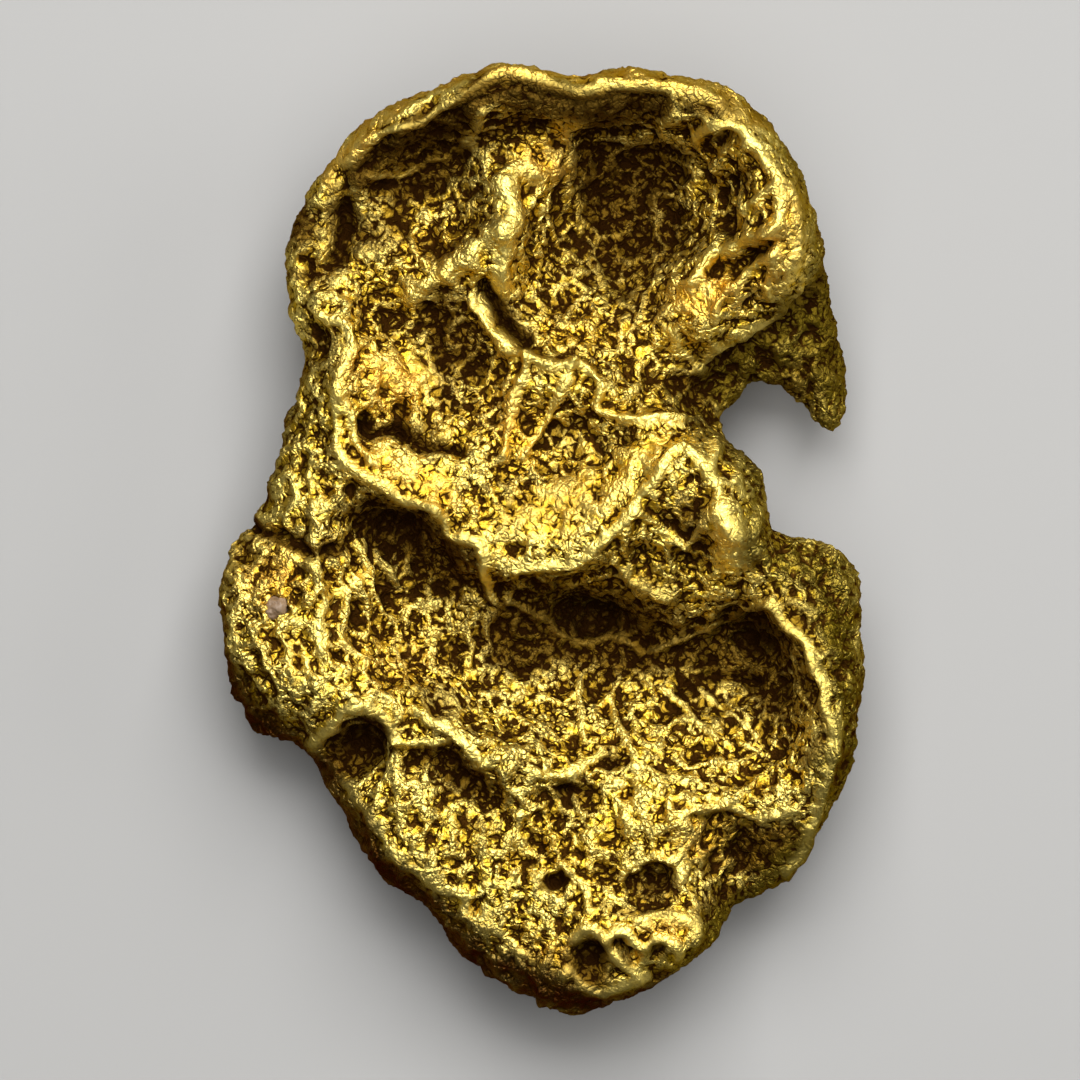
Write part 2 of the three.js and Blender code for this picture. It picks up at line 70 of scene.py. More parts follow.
def make_camera():
    data = bpy.data.cameras.new("camera")
    data.sensor_width = SENSOR
    data.lens = SENSOR * CAMERA_DISTANCE / VIEW_SIDE
    data.clip_start = CLIP_START * MM
    camera = bpy.data.objects.new("camera", data)
    camera.location = (0, 0, (VIEW_HEIGHT + CAMERA_DISTANCE) * MM)
    bpy.context.scene.collection.objects.link(camera)
    bpy.context.scene.camera = camera


# ---------------------------------------------------------------------------------------------------------
# Relief of the front, in millimetres in plan: X to the right and Y up, from the middle of the nugget.
# A crest or a groove is (half width, height or depth, how worn it is, [(x, y), ...]).
CRESTS = {
    "upper rim": (0.16, 0.22, 0.7, [
        (-5.75, 11.2), (-5.47, 11.55), (-5.07, 11.97), (-4.6, 12.2), (-4.1, 12.35), (-3.6, 12.5),
        (-3.07, 12.85), (-2.6, 13.1), (-2.1, 13.45), (-1.5, 13.75), (-0.9, 13.95), (-0.2, 13.9), (0.4, 13.65),
        (1.0, 13.4), (1.5, 13.35), (1.8, 13.5), (2.1, 13.55), (2.8, 13.5), (3.5, 13.5), (4.2, 13.45),
        (4.8, 13.35), (5.4, 13.1)]),
    "shoulder arch": (0.17, 0.26, 0.8, [
        (4.7, 12.0), (5.0, 12.25), (5.5, 12.35), (5.9, 12.25), (6.3, 11.75), (6.8, 11.3), (7.1, 10.9),
        (7.15, 10.3), (7.05, 9.6), (6.9, 9.2)]),
    "shoulder branch": (0.16, 0.26, 0.6, [(7.0, 10.6), (6.5, 10.2), (6.2, 9.9), (5.9, 9.5)]),
    "shelf crest": (0.18, 0.28, 0.7, [
        (7.15, 9.4), (6.4, 9.1), (5.8, 8.75), (5.3, 8.6), (4.9, 8.1), (4.6, 7.7)]),
    "shelf drop": (0.15, 0.22, 0.7, [(6.9, 9.3), (6.95, 8.4), (6.85, 7.4)]),
    "shoulder outer ridge": (0.15, 0.14, 0.6, [(7.45, 10.6), (7.7, 9.6), (7.6, 8.5), (7.3, 7.6)]),
    "shelf fold": (0.15, 0.26, 0.6, [(6.9, 8.6), (6.3, 8.1), (5.9, 7.6), (5.4, 7.2), (5.3, 6.7)]),
    "fold edge": (0.2, 0.14, 0.5, [
        (3.9, 6.2), (4.4, 5.4), (4.8, 5.2), (5.2, 5.6), (5.6, 5.8), (6.2, 6.2), (7.0, 6.6), (7.7, 7.2),
        (8.3, 7.7)]),
    "rod": (0.29, 0.42, 0.8, [
        (-1.0, 10.7), (-0.9, 10.2), (-0.85, 9.6), (-1.1, 9.2), (-1.1, 8.7), (-1.15, 8.1), (-1.2, 7.6)]),
    "rod branch": (0.32, 0.34, 0.45, [
        (-1.1, 9.3), (-1.7, 8.9), (-2.2, 8.4), (-2.8, 8.0), (-3.4, 7.6), (-3.8, 7.3)]),
    "rim wrinkle": (0.15, 0.16, 0.4, [
        (-5.2, 10.9), (-4.3, 10.95), (-3.5, 11.3), (-2.6, 11.6), (-2.1, 12.1), (-1.7, 12.7)]),
    "web": (0.16, 0.36, 0.85, [
        (-1.95, 7.1), (-1.6, 6.7), (-1.2, 6.1), (-0.9, 5.6), (-0.4, 5.45), (0.3, 5.2), (0.9, 5.25),
        (1.4, 5.0), (1.8, 4.6), (1.75, 3.95), (2.3, 3.7), (2.9, 3.5), (3.6, 3.6), (4.2, 3.5)]),
    "web leg left": (0.14, 0.26, 0.7, [(-0.4, 5.4), (-0.63, 4.47), (-0.99, 3.24), (-1.1, 2.4)]),
    "web leg right": (0.14, 0.26, 0.7, [(0.9, 5.2), (0.54, 4.41), (0.1, 3.5), (-0.5, 2.59)]),
    "left lip": (0.16, 0.26, 0.85, [
        (-6.4, 6.7), (-5.9, 6.3), (-5.7, 5.8), (-5.8, 5.2), (-6.0, 4.6), (-6.1, 4.2), (-6.1, 3.4),
        (-6.1, 2.8), (-5.9, 2.4), (-5.2, 1.9), (-4.7, 1.6), (-4.3, 1.35), (-3.8, 1.1), (-3.3, 1.0),
        (-3.0, 0.7), (-2.7, 0.3), (-2.1, 0.0), (-1.8, -0.4), (-1.7, -0.9), (-1.6, -1.4), (-1.4, -1.8)]),
    "left lip inner": (0.13, 0.2, 0.7, [(-5.9, 4.4), (-5.8, 3.8), (-5.6, 3.2), (-5.3, 2.7), (-5.0, 2.3)]),
    "tongue edge": (0.16, 0.26, 0.9, [
        (-0.8, -0.9), (0.0, -0.75), (1.2, -0.6), (2.0, 0.1), (2.8, 0.9), (3.4, 1.8), (3.8, 2.5), (4.2, 2.75),
        (4.6, 2.5), (4.95, 2.0)]),
    "tongue lobe": (0.2, 0.22, 0.85, [(5.25, 2.7), (5.15, 2.1), (5.3, 1.5), (5.45, 0.9), (5.7, 0.3)]),
    "tongue lobe end": (0.45, 0.35, 0.6, [(5.5, 0.8), (5.7, 0.2), (5.8, -0.5)]),
    "lobe wrinkle one": (0.15, 0.14, 0.4, [(6.0, 2.5), (5.9, 1.9), (6.1, 1.4)]),
    "lobe wrinkle two": (0.15, 0.12, 0.4, [(6.5, 0.9), (6.4, 0.2), (6.5, -0.5)]),
    "tongue fold": (0.16, 0.22, 0.4, [(3.0, 0.8), (3.6, 0.3), (4.2, 0.0)]),
    "tongue blade": (0.14, 0.25, 0.4, [(4.4, -0.2), (4.9, 0.4)]),
    "tongue wrinkle": (0.18, 0.22, 0.4, [(2.2, -0.5), (3.0, -1.3), (3.9, -1.7)]),
    "tongue under edge": (0.13, 0.2, 0.4, [
        (6.9, -1.8), (6.2, -2.0), (5.4, -2.5), (4.6, -2.8), (4.0, -3.0), (3.6, -3.3), (3.0, -3.4),
        (2.6, -3.1), (2.0, -2.9), (1.2, -3.1), (0.6, -2.9), (0.2, -2.4), (-0.5, -2.0), (-1.0, -1.7)]),
    "right rim": (0.15, 0.28, 0.9, [
        (6.9, -1.9), (7.4, -2.4), (8.0, -3.2), (8.3, -3.9), (8.5, -4.6), (8.7, -5.3), (8.7, -6.2),
        (8.55, -7.0), (8.4, -7.8), (8.2, -8.5), (7.9, -9.2), (7.4, -10.0)]),
    "right rim second": (0.13, 0.14, 0.6, [(8.95, -4.9), (8.95, -5.6), (8.8, -6.5)]),
    "recess lip": (0.17, 0.18, 0.6, [
        (4.3, -8.2), (4.8, -8.1), (5.3, -7.95), (5.9, -8.05), (6.4, -8.3), (7.0, -8.2), (7.6, -8.0)]),
    "slope crease one": (0.12, 0.24, 0.5, [(2.1, -4.7), (2.3, -5.4), (2.8, -6.5)]),
    "slope crease three": (0.1, 0.18, 0.4, [(3.6, -4.4), (4.4, -5.1), (5.2, -5.9)]),
    "slope crease four": (0.09, 0.15, 0.4, [(4.8, -4.5), (5.6, -5.1), (6.5, -5.9)]),
    "slope crease five": (0.11, 0.2, 0.5, [(1.2, -4.4), (1.1, -5.1), (1.3, -5.8)]),
    "slope crease two": (0.15, 0.2, 0.5, [(0.0, -7.0), (1.0, -6.9), (1.8, -6.3)]),
    "lower step": (0.17, 0.2, 0.7, [(-3.7, -5.1), (-3.2, -5.4), (-2.5, -5.9), (-2.0, -6.4), (-1.6, -6.7)]),
    "hollow lip": (0.2, 0.22, 0.7, [
        (-6.7, -6.2), (-6.2, -5.6), (-5.8, -5.15), (-5.3, -5.0), (-4.8, -5.2), (-4.5, -5.7), (-4.4, -6.1)]),
    "hollow tail": (0.13, 0.14, 0.6, [(-4.4, -6.15), (-4.2, -6.2), (-3.5, -6.1), (-2.8, -6.05)]),
    "lower left crest": (0.2, 0.14, 0.5, [
        (-5.9, -7.2), (-5.5, -7.8), (-5.1, -8.3), (-4.4, -9.3), (-3.4, -10.1), (-2.6, -10.6), (-2.2, -11.0),
        (-1.6, -11.3), (-1.2, -11.8), (-0.4, -12.4)]),
    "lobe groove bank": (0.18, 0.2, 0.5, [(-7.0, -0.6), (-6.8, -1.0), (-6.7, -1.4)]),
    "lobe ridge": (0.18, 0.18, 0.6, [(-5.3, -1.0), (-5.7, -1.4), (-6.3, -1.8), (-6.6, -2.6), (-6.6, -3.4)]),
    "lobe crease": (0.13, 0.18, 0.4, [(-5.9, -3.1), (-5.3, -3.7)]),
    "nose arch": (0.2, 0.26, 0.8, [(1.1, -12.0), (1.4, -11.6), (1.9, -11.9), (2.4, -11.7), (2.9, -12.1)]),
    "nose ridge": (0.15, 0.24, 0.8, [(1.9, -11.9), (2.1, -12.4), (2.5, -12.8), (2.95, -13.0)]),
    "nose foot": (0.16, 0.2, 0.8, [
        (0.65, -13.0), (0.9, -12.9), (1.4, -13.35), (1.9, -13.6), (2.6, -13.2), (3.2, -13.1)]),
    "nose brow": (0.19, 0.26, 0.8, [(3.0, -11.4), (3.6, -11.3), (4.2, -11.35), (4.65, -11.5), (4.6, -12.0)]),
    "nose ring": (0.18, 0.22, 0.8, [(3.2, -12.2), (3.5, -11.95), (4.0, -12.0), (4.2, -12.4)]),
    "right pit arch": (0.2, 0.24, 0.35, [(2.5, -10.0), (2.9, -9.7), (3.5, -9.5), (4.0, -9.7), (4.2, -10.2)]),
    "left pit arch": (0.15, 0.2, 0.35, [
        (-0.2, -10.2), (0.45, -9.9), (0.8, -9.8), (1.3, -10.5), (1.4, -10.9)]),
}
GROOVES = {
    "under upper rim": (0.26, 0.3, [
        (-5.3, 11.0), (-4.6, 11.7), (-3.9, 11.95), (-3.0, 12.4), (-2.3, 12.8), (-1.5, 13.3), (-0.7, 13.4),
        (0.2, 13.2), (0.8, 12.95), (1.6, 12.95), (2.6, 13.1), (3.6, 13.05)]),
    "under fold edge": (0.22, 0.4, [(5.6, 5.4), (6.4, 5.9), (7.2, 6.4), (7.9, 7.0), (8.5, 7.7)]),
    "shelf slot": (0.2, 0.35, [(5.2, 8.0), (6.0, 8.4), (6.8, 8.85)]),
    "beside ear": (0.28, 0.4, [(-5.9, 11.0), (-5.85, 10.0), (-5.9, 9.0), (-6.1, 8.4), (-6.8, 8.0)]),
    "beside web": (0.22, 0.5, [(-1.5, 7.5), (-1.3, 7.0), (-0.85, 6.4), (-0.45, 6.05)]),
    "lobe groove": (0.18, 0.35, [(-8.6, 0.45), (-8.2, 0.25), (-7.7, 0.05), (-7.2, -0.3), (-6.9, -0.45)]),
    "plateau slot": (0.17, 0.45, [
        (-5.3, 3.5), (-4.9, 3.25), (-4.4, 3.4), (-3.8, 3.05), (-3.2, 2.85), (-2.5, 2.7)]),
    "under lower step": (0.28, 0.35, [(-3.9, -6.6), (-3.0, -6.6), (-2.2, -7.2), (-1.7, -7.8)]),
    "cup slit": (0.16, 0.3, [(5.0, -4.0), (5.8, -4.1), (6.5, -4.3)]),
    "rim crescent": (0.16, 0.3, [(0.3, 13.0), (0.9, 12.85), (1.6, 12.95)]),
    "nose slot": (0.16, 0.45, [(2.3, -12.1), (2.8, -12.65)]),
}
# A pit or a lump is (x, y, half length, half width, turn in degrees, depth or height).
PITS = [
    (-3.3, 13.0, 0.35, 0.2, 20, 0.25), (3.05, 13.05, 0.95, 0.3, 0, 0.5), (5.35, 12.0, 0.45, 0.25, 10, 0.5),
    (6.3, 7.0, 0.4, 0.25, 30, 0.4), (5.6, 9.5, 0.5, 0.3, 30, 0.4), (6.4, 10.9, 0.45, 0.25, -40, 0.35),
    (6.1, 8.2, 0.5, 0.2, 30, 0.4), (5.2, 4.7, 0.6, 0.4, 20, 0.5), (-6.6, 6.0, 0.4, 0.5, 0, 0.35),
    (-1.6, 7.5, 0.3, 0.3, 0, 0.4), (2.5, 3.9, 0.3, 0.2, 0, 0.2), (2.4, 2.9, 0.35, 0.2, 30, 0.2),
    (-5.2, 3.6, 0.2, 0.3, 30, 0.3),
    (-5.7, 1.5, 0.25, 0.25, 0, 0.35), (-6.5, 1.5, 0.25, 0.2, 0, 0.3), (2.1, -6.7, 0.32, 0.16, 0, 0.35),
    (2.6, -7.6, 0.22, 0.18, 0, 0.3), (0.8, -7.5, 0.35, 0.22, 0, 0.35), (0.4, -10.25, 0.6, 0.25, 10, 0.2),
    (3.4, -10.2, 0.65, 0.2, 5, 0.25), (-0.3, -9.7, 0.25, 0.15, 0, 0.25), (-1.9, -11.1, 0.2, 0.2, 0, 0.3),
    (-2.5, -9.7, 0.2, 0.15, 0, 0.25), (-6.2, -0.3, 0.28, 0.22, 20, 0.4), (-6.0, -3.4, 0.2, 0.2, 0, 0.3),
    (1.5, -12.6, 0.55, 0.5, 0, 0.6), (3.45, -12.35, 0.2, 0.2, 0, 0.45), (5.45, -8.35, 0.45, 0.25, 0, 0.3),
    (-5.4, -6.15, 0.75, 0.6, 40, 0.7), (-4.3, 0.5, 0.9, 0.5, -20, 0.4), (1.7, -2.3, 1.0, 0.4, -15, 0.5),
]
LUMPS = [
    (-0.2, 11.2, 0.95, 0.5, 0, 0.25), (4.0, 12.4, 0.35, 0.4, 20, 0.25), (5.4, 11.3, 0.3, 0.25, 0, 0.3),
    (-7.2, 8.7, 0.3, 0.3, 0, 0.2), (-6.6, 7.2, 0.35, 0.3, 0, 0.2), (-5.8, 7.0, 0.3, 0.3, 0, 0.2),
    (8.6, 4.8, 0.3, 0.3, 0, 0.15), (-4.2, 5.0, 1.1, 0.6, 0, 0.2), (3.9, -8.7, 0.5, 0.4, 0, 0.25),
]
# Worn, smooth areas: (x, y, half length, half width, turn in degrees, how smooth).
POLISHED = [
    (7.6, 9.3, 0.7, 2.0, -8, 0.4), (-0.2, 11.2, 1.0, 0.7, 0, 0.5), (5.7, 0.4, 0.5, 0.9, 15, 0.7),
    (1.0, 1.2, 3.4, 0.8, 20, 0.45), (-3.8, 1.9, 1.7, 0.5, -30, 0.5), (-5.4, -6.2, 0.8, 0.8, 0, 0.3),
    (2.2, -12.4, 1.8, 1.0, 0, 0.3),
    (-4.2, 5.0, 1.2, 0.7, 0, 0.5), (4.7, 7.2, 0.9, 0.6, 10, 0.6), (3.4, -8.2, 2.0, 1.6, 0, 0.25),
    (-7.2, -3.0, 1.0, 1.1, 0, 0.3), (-7.2, 1.2, 0.8, 1.2, 0, 0.3), (1.2, 3.0, 1.0, 0.8, 0, 0.25),
]

# Brown deposits and painted shade that fill the hollows and lie under the overhangs: (x, y, half length, half
# width, turn in degrees, how much).
DEPOSITS_AND_SHADE = [
    (-3.5, 11.6, 2.5, 0.7, 25, 1.0), (-3.9, 10.6, 1.7, 0.7, 15, 0.75), (-7.1, 7.9, 0.7, 0.25, -10, 0.8),
    (1.2, 12.7, 3.0, 0.45, -3, 1.0), (2.4, 10.6, 1.8, 1.6, 0, 0.9), (2.6, 9.0, 2.1, 1.6, 30, 0.65),
    (-1.9, 10.2, 0.6, 0.7, 0, 0.4), (-6.0, 9.5, 0.5, 1.6, 0, 0.85), (-7.1, 9.4, 0.6, 0.9, 0, 1.0),
    (-4.9, 9.2, 0.9, 0.9, 0, 0.6), (5.0, 12.9, 1.1, 0.5, -15, 0.9), (-2.5, 6.2, 1.5, 0.9, -60, 0.75),
    (-1.1, 6.8, 0.9, 0.3, -50, 0.8), (5.0, 4.7, 1.2, 0.6, 10, 0.75), (7.9, 5.0, 1.7, 0.9, 20, 0.75),
    (8.6, 6.2, 0.8, 1.8, 0, 0.9), (3.0, 7.0, 0.8, 0.7, 0, 0.6), (-2.9, 5.0, 0.7, 1.0, 0, 0.6),
    (-4.0, 0.2, 2.2, 0.9, -30, 1.2), (-3.2, -1.2, 1.8, 0.8, -20, 0.5), (1.4, -2.4, 3.4, 1.1, -5, 1.4),
    (3.5, -3.3, 3.2, 0.9, 0, 1.1), (0.2, -3.0, 2.2, 1.0, 0, 1.1), (5.0, -4.9, 1.2, 0.7, -20, 0.55),
    (6.7, -2.8, 1.6, 1.2, 0, 1.3), (4.5, 0.4, 0.5, 0.9, 10, 0.8), (3.0, -1.3, 1.5, 0.5, -10, 0.7),
    (7.2, -4.6, 1.0, 1.2, 0, 0.8), (6.9, -9.2, 1.4, 0.9, 15, 1.15), (-5.4, -6.0, 0.95, 0.8, 20, 1.6),
    (-2.6, -6.9, 1.4, 0.5, -30, 0.65), (0.8, -7.7, 0.7, 0.5, 0, 0.6), (2.2, -6.6, 0.5, 0.35, 0, 0.6),
    (3.4, -10.35, 0.7, 0.3, 0, 0.8), (0.4, -10.25, 0.7, 0.3, 10, 0.7), (-1.5, -8.8, 0.5, 0.5, 0, 0.35),
    (-5.1, 3.4, 0.35, 0.3, -30, 1.5), (-3.2, 3.0, 0.9, 0.4, -20, 0.5), (-6.3, -0.3, 0.4, 0.35, 0, 1.3),
    (-3.1, -4.8, 0.9, 0.6, -20, 0.6), (-1.0, 1.0, 0.35, 1.0, 10, 0.5), (0.6, 1.2, 1.6, 0.7, 20, 0.45),
    (-6.5, 6.0, 0.7, 0.45, 0, 0.5), (1.5, -12.7, 0.8, 0.7, 0, 1.5), (-8.2, 0.1, 0.9, 0.3, -15, 0.35),
    (5.3, 12.0, 0.6, 0.35, 0, 0.5), (6.2, 10.8, 0.7, 0.4, -30, 0.35), (-5.9, 1.5, 0.6, 0.4, 0, 0.35),
    (5.3, -11.0, 0.9, 0.6, 10, 0.8), (-9.0, -0.6, 0.7, 0.5, 0, 0.35), (2.55, -12.4, 0.5, 0.16, -50, 1.5),
    (3.45, -12.35, 0.22, 0.22, 0, 1.5), (3.0, -11.0, 1.5, 0.25, 0, 0.7), (-0.2, -12.6, 0.9, 0.4, -40, 0.5),
]
# Painted shadow under the rims and folds, and painted shade with some deposit in the grooves: (half width,
# how much, [(x, y), ...]).
SHADOW_AND_DEPOSIT_BANDS = [
    (0.5, 1.6, GROOVES["under upper rim"][2]),
    (0.35, 1.4, GROOVES["under fold edge"][2]),
    (0.17, 1.4, GROOVES["plateau slot"][2]),
    (0.2, 1.4, GROOVES["lobe groove"][2]),
    (0.22, 1.3, GROOVES["beside web"][2]),
    (0.3, 0.8, [(6.9, -2.3), (7.7, -3.2), (8.1, -4.2), (8.3, -5.4), (8.2, -6.6)]),
]
# Orange stain on the gold: (x, y, half length, half width, turn in degrees, how much).
STAINS = [
    (-4.6, 4.8, 1.4, 0.8, -20, 0.8), (-3.6, 1.7, 1.9, 0.5, -25, 0.7), (4.9, 7.2, 1.2, 0.6, 10, 0.8),
    (-8.3, -1.0, 1.0, 1.0, 0, 0.7), (-0.9, 3.6, 0.8, 1.2, 0, 0.5), (4.8, -9.0, 1.0, 0.8, 0, 0.5),
    (0.6, -12.5, 1.2, 0.6, -20, 0.5), (3.8, -11.6, 0.9, 0.5, 0, 0.5), (1.5, 6.2, 1.6, 0.5, 0, 0.4),
    (0.3, 11.4, 1.0, 0.6, 0, 0.5), (-4.5, -3.6, 1.4, 0.8, 0, 0.35), (-3.6, 8.6, 1.2, 0.8, 0, 0.3),
    (7.5, 9.2, 0.8, 2.2, -8, 0.5), (5.4, 0.3, 0.5, 0.8, 15, 0.3), (0.6, 1.2, 1.8, 0.8, 20, 0.4),
]

# Smooth bands: (half width, how smooth, how orange, [(x, y), ...]).
BANDS = [
    (0.3, 0.5, 0.6, [
        (-6.3, 10.9), (-5.6, 12.0), (-4.6, 12.75), (-3.4, 13.35), (-2.2, 13.95), (-1.0, 14.15), (0.2, 14.05),
        (1.2, 13.75), (2.2, 13.95), (3.6, 13.85), (5.0, 13.5), (5.8, 13.0), (6.8, 12.2)]),
    (0.3, 0.6, 0.3, [(-0.4, 0.2), (1.2, 0.4), (2.2, 1.4), (3.0, 2.4), (3.6, 3.0)]),
]
# Places with bladed folds: (x, y, half length, half width, turn in degrees, how much).
RUGGED = [
    (3.7, 0.2, 1.1, 1.5, 0, 1.0), (6.1, 9.9, 0.9, 1.8, 15, 0.6), (-5.2, -1.3, 1.6, 1.8, 0, 0.9),
    (-3.9, 3.6, 1.6, 0.9, -10, 0.9), (0.8, 3.4, 1.6, 1.2, 0, 0.3), (-6.4, 6.8, 0.9, 1.1, 0, 0.6),
    (-7.8, -3.6, 1.3, 1.4, 0, 0.6), (-2.4, 8.6, 1.8, 0.9, 20, 0.5), (8.3, -1.6, 0.9, 1.2, 0, 0.7),
    (7.2, 5.6, 1.8, 1.2, 20, 0.7), (5.6, -9.2, 2.0, 0.9, 10, 0.5), (-2.6, -3.2, 2.0, 1.0, 0, 0.4),
    (1.0, -8.6, 3.4, 1.6, -10, 0.5),
]
# Painted shade along the flanks, olive on the right and dark red on the left: (half width, how much, [(x, y),
# ...]).
OLIVE_SHADE_BANDS = [
    (0.75, 1.0, [
        (7.6, -0.5), (8.4, -1.1), (9.0, -2.8), (9.2, -4.5), (9.1, -6.5), (8.8, -8.0), (8.0, -9.6),
        (6.9, -10.6), (5.6, -11.7), (4.8, -12.6)]),
    (0.9, 1.0, [(7.6, -0.7), (8.6, -1.0), (9.1, -2.2)]),
    (0.45, 0.9, [(5.9, 2.9), (6.4, 1.9), (6.5, 0.7), (6.6, -0.5)]),
    (1.0, 0.95, [(5.6, 4.7), (7.0, 5.6), (8.4, 6.6), (8.8, 5.4), (8.9, 4.0)]),
    (0.4, 0.85, [(6.5, 12.7), (7.6, 11.2), (8.2, 9.4), (8.6, 7.6), (9.1, 5.8)]),
]
RED_SHADE_BANDS = [
    (0.6, 1.0, [
        (-9.6, -3.6), (-9.0, -5.0), (-7.9, -5.9), (-6.6, -6.7), (-5.8, -8.3), (-4.8, -9.5), (-3.6, -10.7),
        (-2.7, -11.7)]),
    (0.8, 1.0, [(-2.7, -11.7), (-1.8, -12.5), (-0.8, -13.2), (0.4, -13.7), (1.6, -14.0)]),
    (0.5, 0.9, [(1.6, -14.0), (2.6, -13.9), (3.6, -13.3)]),
]


def smooth_curve(points, steps=5):
    """A Catmull-Rom curve through the points, as a list of points."""
    ends = np.vstack([points[:1], points, points[-1:]]).astype(float)
    share = np.linspace(0, 1, steps, endpoint=False)[:, None]
    pieces = []
    for a, b, c, d in zip(ends[:-3], ends[1:-2], ends[2:-1], ends[3:]):
        pieces.append(b + 0.5 * share * (
            c - a + share * (2 * a - 5 * b + 4 * c - d + share * (3 * (b - c) + d - a))))
    return np.vstack([*pieces, ends[-1:]])


def distance_to(curve, plan, reach):
    """Each point's distance to the curve, infinite past the reach."""
    distance = np.full(len(plan), np.inf)
    near = np.all((plan > curve.min(0) - reach) & (plan < curve.max(0) + reach), axis=1)
    points = plan[near]
    best = np.full(len(points), np.inf)
    for start, end in zip(curve[:-1], curve[1:]):
        along = end - start
        share = np.clip((points - start) @ along / max(along @ along, 1e-12), 0, 1)
        best = np.minimum(best, np.hypot(*(points - start - share[:, None] * along).T))
    distance[near] = best
    return distance


def widths_away(points, plan, half_width, reach):
    """Each plan point's distance to the curve through the points, in half widths."""
    return distance_to(smooth_curve(points), plan, reach * half_width) / half_width


def in_ellipse(plan, x, y, half_length, half_width, turn):
    """Each point's distance from the middle of the ellipse, which is 1 on its edge."""
    turn = math.radians(turn)
    across = plan - (x, y)
    along = across @ (math.cos(turn), math.sin(turn))
    aside = across @ (-math.sin(turn), math.cos(turn))
    return np.hypot(along / half_length, aside / half_width)


def bell(distance):
    """1 in the middle, a third at distance 1, and nearly nothing at 2."""
    return np.exp(-distance ** 2)


# ---------------------------------------------------------------------------------------------------------
# Mesh helpers. Working meshes are in millimetres.
def new_object(name, mesh):
    thing = bpy.data.objects.new(name, mesh)
    bpy.context.scene.collection.objects.link(thing)
    return thing


def with_modifiers(mesh, *modifiers):
    """The mesh after (type, {setting: value}) modifiers."""
    worker = new_object("worker", mesh)
    for kind, settings in modifiers:
        modifier = worker.modifiers.new(kind, kind)
        for name, value in settings.items():
            setattr(modifier, name, value)
    graph = bpy.context.evaluated_depsgraph_get()
    result = bpy.data.meshes.new_from_object(worker.evaluated_get(graph))
    bpy.data.objects.remove(worker)
    return result


def positions(mesh):
    flat = np.empty(3 * len(mesh.vertices), np.float32)
    mesh.vertices.foreach_get("co", flat)
    return flat.reshape(-1, 3).astype(float)


def set_positions(mesh, points):
    mesh.vertices.foreach_set("co", points.astype(np.float32).ravel())
    mesh.update()


def normals(mesh):
    flat = np.empty(3 * len(mesh.vertices), np.float32)
    mesh.vertex_normals.foreach_get("vector", flat)
    return flat.reshape(-1, 3).astype(float)


def edges(mesh):
    flat = np.empty(2 * len(mesh.edges), np.int32)
    mesh.edges.foreach_get("vertices", flat)
    return flat.reshape(-1, 2)


def neighbour_means(values, pairs, passes, share=0.5):
    """Values moved towards the mean of their neighbours, over and over."""
    count = len(values)
    first, second = pairs.T
    degree = np.bincount(first, minlength=count) + np.bincount(second, minlength=count)
    degree = np.maximum(degree, 1)
    for _ in range(passes):
        moved = []
        for column in values.T:
            total = np.bincount(first, column[second], count) + np.bincount(second, column[first], count)
            moved.append(column + share * (total / degree - column))
        values = np.stack(moved, 1)
    return values


def cad_copy(node):
    """The node's mesh in millimetres, with its corners joined."""
    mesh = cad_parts[node].data.copy()
    mesh.materials.clear()
    set_positions(mesh, positions(mesh) / MM)
    return with_modifiers(mesh, ("WELD", {"merge_threshold": 1e-3}))


# ---------------------------------------------------------------------------------------------------------
# The gold nugget. Lengths are in millimetres, and shares are from 0 to 1.
SUBDIVISIONS = 3
MOST_TRIANGLES = 197000

# The grain: how large each of its features is in plan, and how high.
LUMP, WRINKLE, CELL, PIMPLE = 1.5, 0.85, 0.42, 0.2
LUMP_RISE, WRINKLE_RISE, CELL_RISE, PIMPLE_RISE = 0.16, 0.17, 0.14, 0.05
BLADE, BLADE_RISE = 0.8, 0.25
WARP, WARP_SIZE = 0.16, 0.5

# A wrinkle's and a blade's ridges fall off this steeply, and finer wrinkles lie between the wrinkles.
WRINKLE_STEEP, FINE_WRINKLE_STEEP, BLADE_STEEP = 2, 0.8, 3
FINE_WRINKLES = 2.2
WRINKLE_MEAN, BLADE_MEAN = 0.35, 0.3
CELL_CAP, PIMPLE_CAP = 0.4, 0.5

# The blades run slantwise and are drawn out along their length.
FOLD_SLANT, FOLD_STRETCH = 0.4, 0.5
LEAST_RUGGED = 0.02

# A crest's foot has a shallow moat.
CREST_SPREAD = 1.1
MOAT_DEPTH, MOAT_SPREAD = 0.1, 2

# The share of the lumps and of the finer grain that wear takes away.
LUMP_WORN_OFF, GRAIN_WORN_OFF = 0.5, 0.8

# How far the relief, and the deposits, stains and painted shade, stray from their drawn lines, and the size
# of the waves.
COARSE_STRAY, FINE_STRAY, COLOURING_STRAY = (0.14, 0.9), (0.06, 0.3), (0.4, 1.2)

# A surface starts to count as front where its normal's Z is the first, and wholly does after the second.
FRONT_FROM, FRONT_RANGE = -0.2, 0.5
FLANK_WORN, FLANK_DRAWN_IN = 0.55, 0.09
FLAT_BELOW = 0.03
SQUEEZED_ABOVE = 5.5

# How high a full crest stands above what is near it, and a full bank above what is further off.
NEAR_PASSES, WIDE_PASSES = 6, 80
CREST_HEIGHT, BANK_HEIGHT = 0.04, 0.25
SUNK_GRID, SUNK_REACH, SUNK_PASSES = 0.2, 3.0, 60

# The share of the deposits and painted shade in the hollows, and of the painted shade on the flanks, that
# wear takes away.
DEPOSIT_AND_SHADE_WORN_OFF, FLANK_SHADE_WORN_OFF = 0.8, 0.5

# A flank's painted shade grows with how far the flank looks outwards: that times the gain, less the start.
FLANK_SHADE_GAIN, FLANK_SHADE_START = 1.6, 0.5
# The whole painted shade is this strong, and weaker where the flank faces +Y, towards the key light.
FLANK_SHADE_SHARE, FLANK_SHADE_LOST_AT_TOP = 0.85, 0.2
# A flank whose normal's X is under this has the red painted shade, and the others have the olive one.
LEFT_FACING = -0.1


def fractal(place, octaves):
    """A noise whose octaves are each half as large and half as strong as the one before."""
    return noise.fractal(place, 1.0, 2.0, octaves)


